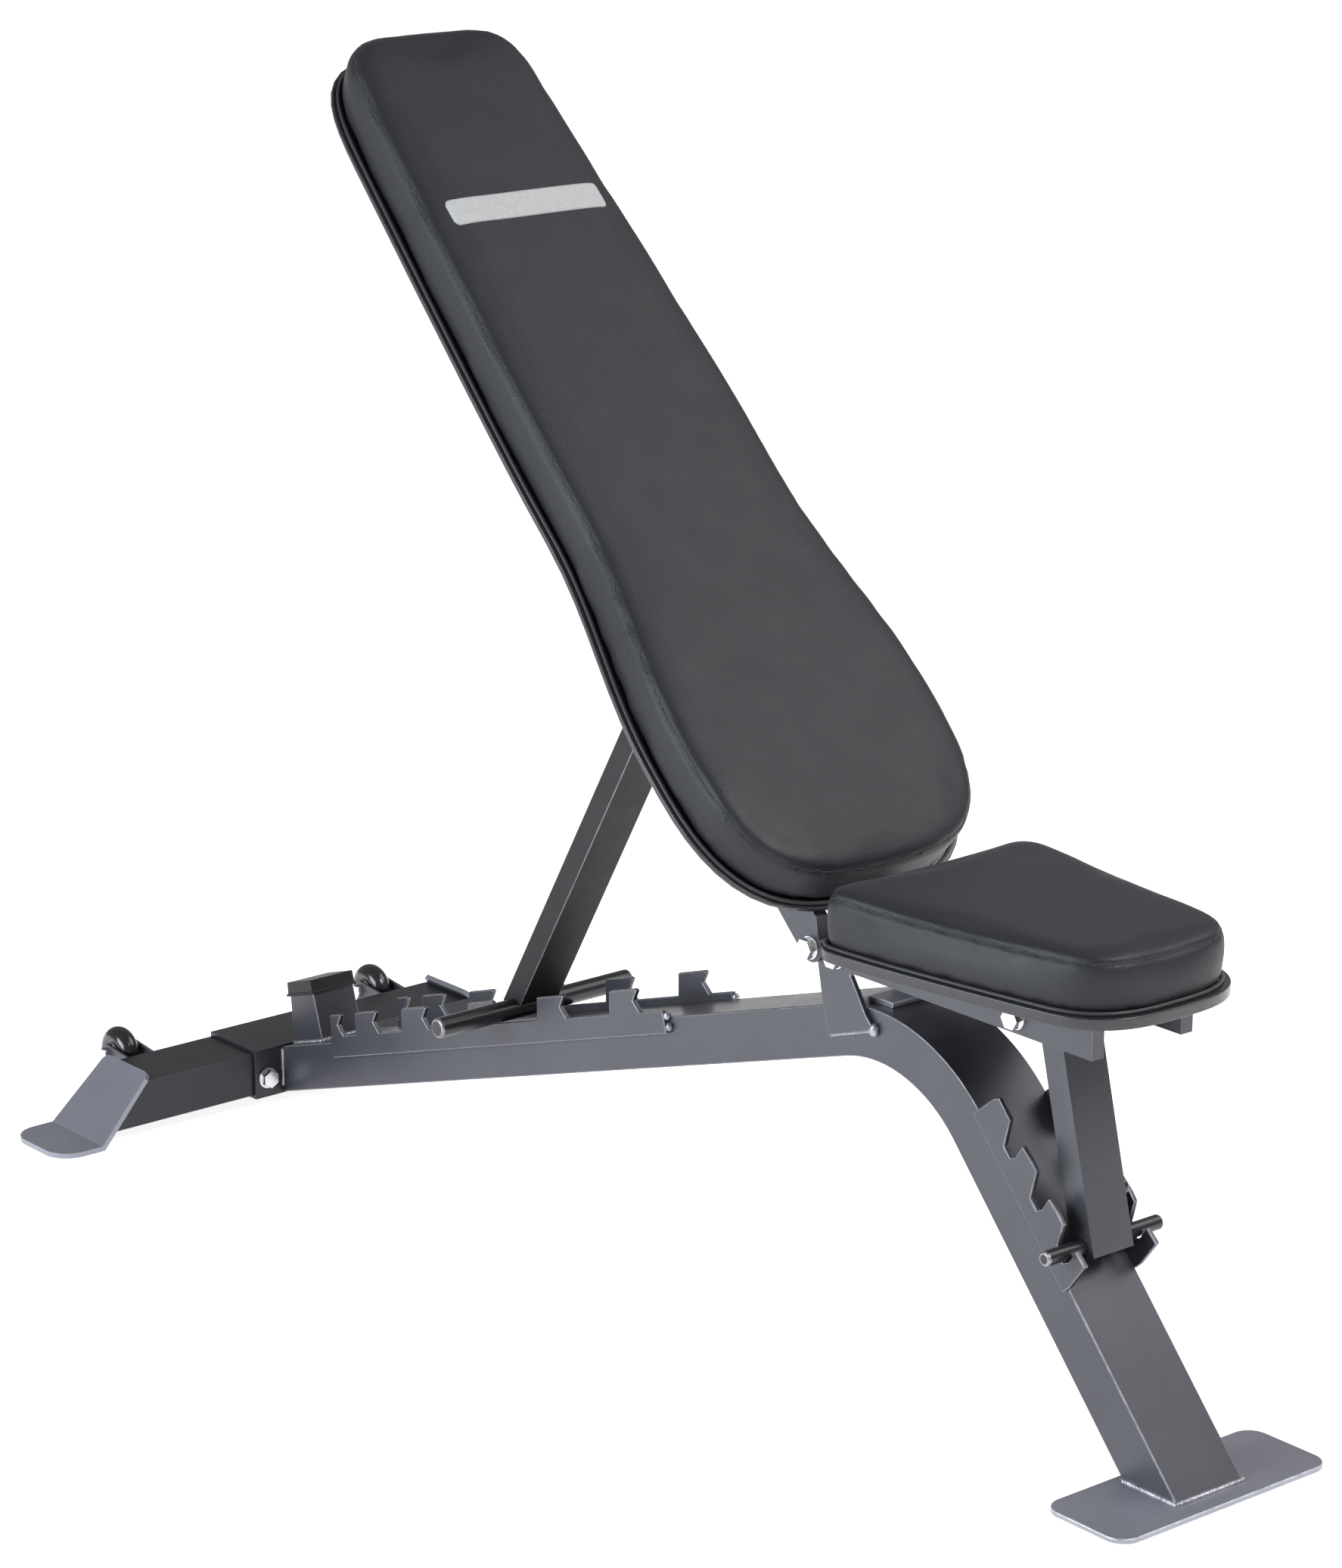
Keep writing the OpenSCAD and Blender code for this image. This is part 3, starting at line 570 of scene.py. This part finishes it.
def inflate(piece, held_below, pressure, cap, frames=20):
    """Swells a closed pad with cloth under pressure; its underside stays held.

    The cloth's moves are smoothed and capped, so the cover keeps no puckers.
    """
    start = [v.co.copy() for v in piece.data.vertices]
    group = piece.vertex_groups.new(name="held")
    low = [v.index for v in piece.data.vertices if v.co.z < held_below]
    group.add(low, 1.0, "REPLACE")
    cloth = piece.modifiers.new("swell", "CLOTH")
    settings = cloth.settings
    settings.quality = 5
    settings.mass = 0.25
    settings.tension_stiffness = 18
    settings.compression_stiffness = 18
    settings.shear_stiffness = 8
    settings.bending_stiffness = 1.5
    settings.use_pressure = True
    settings.uniform_pressure_force = pressure
    settings.vertex_group_mass = "held"
    settings.effector_weights.gravity = 0
    cloth.collision_settings.use_collision = False
    cloth.collision_settings.use_self_collision = False
    cloth.point_cache.frame_start = 1
    cloth.point_cache.frame_end = frames
    for step in range(1, frames + 1):
        bpy.context.scene.frame_set(step)
    mesh = baked(piece)
    bpy.context.scene.frame_set(1)
    moves = [vert.co - origin for vert, origin in zip(mesh.vertices, start)]
    for _ in range(SMOOTHING_PASSES):
        total = [move.copy() for move in moves]
        weight = [1] * len(moves)
        for edge in mesh.edges:
            a, b = edge.vertices
            total[a] += moves[b]
            total[b] += moves[a]
            weight[a] += 1
            weight[b] += 1
        moves = [t / w for t, w in zip(total, weight)]
    for vert, origin, move in zip(mesh.vertices, start, moves):
        vert.co = origin + move * (min(move.length, cap) / max(move.length, 1e-9))


def surface_tree(piece):
    return BVHTree.FromPolygons(
        [v.co.copy() for v in piece.data.vertices],
        [tuple(p.vertices) for p in piece.data.polygons],
    )


def groove(piece, path, depth, width):
    """Draws the cover in along a sewn line."""
    tree = KDTree(len(path))
    for i, point in enumerate(path):
        tree.insert(point, i)
    tree.balance()
    normals = [v.normal.copy() for v in piece.data.vertices]
    for vert, normal in zip(piece.data.vertices, normals):
        _, _, far = tree.find(vert.co)
        if far < 3 * width:
            vert.co -= normal * depth * math.exp(-((far / width) ** 2))


def on_surface(tree, points, lift):
    path = []
    for point in points:
        hit, normal, _, _ = tree.find_nearest(point)
        path.append(hit + normal * lift)
    return path


def ripple_cover(piece, amount, low):
    """Slow unevenness of foam under the cover."""
    normals = [v.normal.copy() for v in piece.data.vertices]
    for vert, normal in zip(piece.data.vertices, normals):
        if vert.co.z > low:
            value = noise.noise(vert.co * 14.0) + 0.5 * noise.noise(vert.co * 31.0)
            vert.co += normal * amount * value


def stitches(name, path, length, gap, radius, body, material, matrix):
    """Short threads laid along a path, as one piece."""
    whole = bmesh.new()
    travelled = 0.0
    wait = 0.0
    for i in range(1, len(path)):
        travelled += (path[i] - path[i - 1]).length
        if travelled < wait:
            continue
        wait = travelled + length + gap
        along = (path[i] - path[i - 1]).normalized()
        capsule = bmesh.ops.create_icosphere(whole, subdivisions=2, radius=1.0)["verts"]
        turn = along.to_track_quat("X", "Z").to_matrix().to_4x4()
        size = Matrix.Diagonal((length / 2, radius, radius, 1.0))
        bmesh.ops.transform(whole, matrix=Matrix.Translation(path[i]) @ turn @ size, verts=capsule)
    mesh = bpy.data.meshes.new(name)
    whole.to_mesh(mesh)
    whole.free()
    mesh.transform(matrix)
    return new_piece(name, mesh, body, material)


def make_pad(name, foot_ring, top_ring, height, body, node, matrix, cap, voxel):
    """One upholstered pad: swollen cover, sewn top edge, piping at its foot."""
    layers = [
        (0.0, -2.4), (1.5, -1.2), (6.0, -0.6), (height * 0.55, 0.0),
        (height - 11, -0.6), (height - 6.5, -1.4), (height - 3.6, -2.8),
        (height - 1.8, -5.0), (height - 0.9, -8.0),
    ]
    low_ring = even(foot_ring, OUTLINE_POINTS)
    high_ring = even(top_ring, OUTLINE_POINTS)
    block = pad_block(name, low_ring, high_ring, layers)
    piece = bpy.data.objects.new(name, block)
    bpy.context.scene.collection.objects.link(piece)
    remesh = piece.modifiers.new("voxels", "REMESH")
    remesh.mode = "VOXEL"
    remesh.voxel_size = voxel
    bpy.context.view_layer.update()
    baked(piece)
    smooth = piece.modifiers.new("relax", "SMOOTH")
    smooth.factor = 0.5
    smooth.iterations = 2
    baked(piece)
    inflate(piece, 0.004, 4.0, cap)
    smooth = piece.modifiers.new("relax", "SMOOTH")
    smooth.factor = 0.5
    smooth.iterations = 3
    finer = piece.modifiers.new("finer", "SUBSURF")
    finer.levels = 1
    finer.render_levels = 1
    bpy.context.view_layer.update()
    baked(piece)
    ripple_cover(piece, 0.00045, 0.006)
    tree = surface_tree(piece)
    edge = [Vector((p.x * MM, p.y * MM, (height - 5.0) * MM)) for p in grown(high_ring, -1.5)]
    seam = on_surface(tree, edge, 0.0)
    groove(piece, seam, 0.0012, 0.0028)
    tree = surface_tree(piece)
    seam_line = on_surface(tree, edge, 0.0001)
    foot = [Vector((p.x * MM, p.y * MM, 0.0016)) for p in grown(low_ring, 0.2)]
    piece.data.transform(matrix)
    for face in piece.data.polygons:
        face.use_smooth = True
    piece.data.materials.clear()
    piece.data.materials.append(MATERIALS["upholstery"])
    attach(piece, body)
    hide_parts(node)
    thread = sweep(name + "_seam", [matrix @ p for p in seam_line], 0.0006, True, 8)
    new_piece(name + "_seam", thread, body, THREAD)
    # the piping cord's lighter vinyl is a painted highlight along the foot of the pad
    cord = sweep(name + "_piping", [matrix @ p for p in foot], 0.0017, True, 10)
    new_piece(name + "_piping", cord, body, PIPING_HIGHLIGHT)
    return tree


def back_matrix():
    """Pad layout to row frame: along the pad, across it, out of its face."""
    up = Vector((-math.cos(BACK_ANGLE), 0, math.sin(BACK_ANGLE)))
    out = Vector((math.sin(BACK_ANGLE), 0, math.cos(BACK_ANGLE)))
    side = out.cross(up)
    origin = place(BACK_REF[0], 0, BACK_REF[1]) - out * CUSHION_DEPTH * MM
    return Matrix.Translation(origin) @ Matrix((up, side, out)).transposed().to_4x4()


def seat_matrix():
    return Matrix.Translation(place(0, 0, SEAT_TOP - CUSHION_DEPTH))


BACK = back_matrix()
SEAT = seat_matrix()
back_tree = make_pad(
    "back_pad",
    back_outline(BACK_TOP, 3.6),
    back_outline(BACK_TOP + 3, 5),
    CUSHION_DEPTH, "backrest", "back_cushion", BACK, BACK_SWELL, BACK_VOXEL)
make_pad(
    "seat_pad",
    seat_outline(SEAT_REAR, 18, 3),
    seat_outline(SEAT_REAR - 6, 24, 3.6),
    CUSHION_DEPTH, "seat", "seat_cushion", SEAT, SEAT_SWELL, SEAT_VOXEL)


def on_pad_face(x, y):
    """The point of the back pad's face over a place in the pad's layout."""
    hit, _, _, _ = back_tree.ray_cast(Vector((x, y, 0.12)), Vector((0, 0, -1)))
    return hit


def make_patch():
    """A plain woven band sewn on the pad's face."""
    low, high, half, corner, thick = 646.0, 673.0, 84.0, 5.0, 1.1
    columns, rows = 84, 14
    verts, faces = [], []
    for level in (0, 1):
        for i in range(rows + 1):
            for k in range(columns + 1):
                s = low + (high - low) * i / rows
                y = -half + 2 * half * k / columns
                inset = max(0.0, corner - (half - abs(y)))
                edge = corner - math.sqrt(max(0.0, corner ** 2 - inset ** 2))
                s = min(max(s, low + edge), high - edge)
                to_edge = min(s - low, high - s, half - abs(y))
                round_off = 0.5 * max(0.0, 1 - to_edge / 1.5) ** 2
                lift = (thick - round_off if level else -0.6) * MM
                verts.append((s * MM, y * MM, on_pad_face(s * MM, y * MM).z + lift))
    wide = columns + 1
    layer = (rows + 1) * wide
    for i in range(rows):
        for k in range(columns):
            a = i * wide + k
            faces.append((a, a + wide, a + wide + 1, a + 1))
            faces.append((layer + a, layer + a + 1, layer + a + wide + 1, layer + a + wide))
    border = list(range(columns))
    border += [i * wide + columns for i in range(rows)]
    border += [rows * wide + k for k in range(columns, 0, -1)]
    border += [i * wide for i in range(rows, 0, -1)]
    for j, a in enumerate(border):
        b = border[(j + 1) % len(border)]
        faces.append((a, b, layer + b, layer + a))
    mesh = bpy.data.meshes.new("back_patch")
    mesh.from_pydata(verts, [], faces)
    repair = bmesh.new()
    repair.from_mesh(mesh)
    bmesh.ops.remove_doubles(repair, verts=repair.verts, dist=0.00001)
    bmesh.ops.recalc_face_normals(repair, faces=repair.faces)
    repair.to_mesh(mesh)
    repair.free()
    mesh.transform(BACK)
    new_piece("back_patch", mesh, "backrest", PATCH)
    inset = 2.4
    corners = [(low + inset, -half + inset), (low + inset, half - inset),
               (high - inset, half - inset), (high - inset, -half + inset)]
    flat = spaced([Vector((s * MM, y * MM, 0)) for s, y in corners], 0.0005, True)
    path = [on_pad_face(p.x, p.y) + Vector((0, 0, thick * MM)) for p in flat]
    stitches("back_patch_stitches", path, 0.0030, 0.0012, 0.00035, "backrest",
             PATCH_THREAD, BACK)


make_patch()


# ---- welds ----

def spot(name, at, size, body):
    """A small uneven weld spot."""
    blob = bmesh.new()
    bmesh.ops.create_icosphere(blob, subdivisions=3, radius=1.0)
    for vert in blob.verts:
        vert.co *= 1 + 0.18 * noise.noise(vert.co * 2.3 + at * 90)
        vert.co = Vector((vert.co.x * size[0], vert.co.y * size[1], vert.co.z * size[2])) + at
    mesh = bpy.data.meshes.new(name)
    blob.to_mesh(mesh)
    blob.free()
    return new_piece(name, mesh, body, BEAD)


# where the beads and spots lie, in millimetres
PLATE_TOP = 5.0
LADDER_END = 622.5
UPRIGHT_SIDE = 38.2
REST_HALF = 24
REST_RUN = 48
SLEEVE_X = 42.6
leg_front = on_leg(1.4, 0, 0).x
leg_rear = leg_front - TUBE_HIGH / math.sin(LEG_ANGLE) * MM
level = PLATE_TOP * MM
side = TUBE_HALF * MM
weld("foot_weld", [
    Vector((leg_front, -side, level)),
    Vector((leg_front, side, level)),
    Vector((leg_rear, side, level)),
    Vector((leg_rear, -side, level)),
], "frame", 0.0030, True)

for name, sign in (("near", -1), ("far", 1)):
    for out in (1.0, -9.0):
        spot("ladder_spot_%s_%d" % (name, -out), on_beam(LADDER_END, out, sign * 39.5),
             (0.003, 0.0035, 0.004), "frame")
    weld("upright_weld_" + name, [
        place(854, sign * UPRIGHT_SIDE, 287),
        place(904, sign * UPRIGHT_SIDE, 304),
    ], "frame", 0.0020)
    spot("upright_corner_" + name, place(909, sign * 40, 306), (0.004, 0.004, 0.006), "frame")
    weld("sleeve_weld_" + name, [
        place(SLEEVE_X, sign * TUBE_HALF, 16),
        place(SLEEVE_X, sign * TUBE_HALF, 55),
    ], "frame", 0.0018)
    weld("rest_foot_weld_" + name, [
        on_beam(-1, 0.3, sign * REST_HALF),
        on_beam(REST_RUN, 0.3, sign * REST_HALF),
    ], "frame", 0.0022)
weld("rest_front_weld", [
    on_beam(REST_RUN + 0.2, 0.4, -REST_HALF),
    on_beam(REST_RUN + 0.2, 0.4, REST_HALF),
], "frame", 0.0026)
weld("rest_rear_weld", [
    on_beam(-2.2, 0.4, -REST_HALF),
    on_beam(-2.2, 0.4, REST_HALF),
], "frame", 0.0022)


# ---- camera, floor and lights ----

FLOOR_GLOW = 0.85
WORLD_GLOW = 0.28


def new_camera():
    data = bpy.data.cameras.new("view_camera")
    data.sensor_width = 36.0
    data.lens = CAMERA_LENS
    data.clip_end = 60.0
    camera = bpy.data.objects.new("view_camera", data)
    bpy.context.scene.collection.objects.link(camera)
    camera.location = CAMERA_PLACE
    camera.rotation_euler = (
        math.radians(90.0 - CAMERA_ELEVATION),
        0.0,
        math.radians(CAMERA_AZIMUTH),
    )
    bpy.context.scene.camera = camera


def add_light(name, place_at, aim, energy, size, colour=(1.0, 1.0, 1.0)):
    data = bpy.data.lights.new(name, "AREA")
    data.energy = energy
    data.shape = "RECTANGLE"
    data.size = size[0]
    data.size_y = size[1]
    data.color = colour
    light = bpy.data.objects.new(name, data)
    bpy.context.scene.collection.objects.link(light)
    light.location = place_at
    direction = Vector(aim) - Vector(place_at)
    light.rotation_euler = direction.to_track_quat("-Z", "Y").to_euler()


def add_floor():
    mesh = bpy.data.meshes.new("floor")
    half = 60.0
    corners = [(-half, -half, 0), (half, -half, 0), (half, half, 0), (-half, half, 0)]
    mesh.from_pydata(corners, [], [(0, 1, 2, 3)])
    floor = bpy.data.objects.new("floor", mesh)
    bpy.context.scene.collection.objects.link(floor)
    g = Graph("floor_white")
    g.link(g.ramp(g.noise(3.0, 4.0), [(0.2, (0.90, 0.90, 0.90)), (0.8, (0.93, 0.93, 0.93))]),
           g.shader.inputs["Base Color"])
    g.set("Roughness", 0.85)
    g.set("Specular IOR Level", 0.1)
    g.set("Emission Color", (1.0, 1.0, 1.0, 1.0))
    g.set("Emission Strength", FLOOR_GLOW)
    mesh.materials.append(g.material)
    floor.visible_diffuse = False


new_camera()
add_floor()
world = bpy.data.worlds.new("studio")
world.use_nodes = True
backdrop = world.node_tree.nodes["Background"]
backdrop.inputs["Color"].default_value = (1, 1, 1, 1)
backdrop.inputs["Strength"].default_value = WORLD_GLOW
bpy.context.scene.world = world
bpy.context.scene.view_settings.view_transform = "Standard"
add_light("key", (1.4, 2.2, 3.0), (0, 0, 0.4), 40, (2.4, 2.0))
add_light("front", (2.6, 0.4, 2.8), (0.3, 0, 0.2), 58, (1.2, 1.2))
add_light("side", (-0.7, -3.4, 1.3), (0, 0, 0.35), 104, (2.6, 1.4), (0.86, 0.92, 1.0))
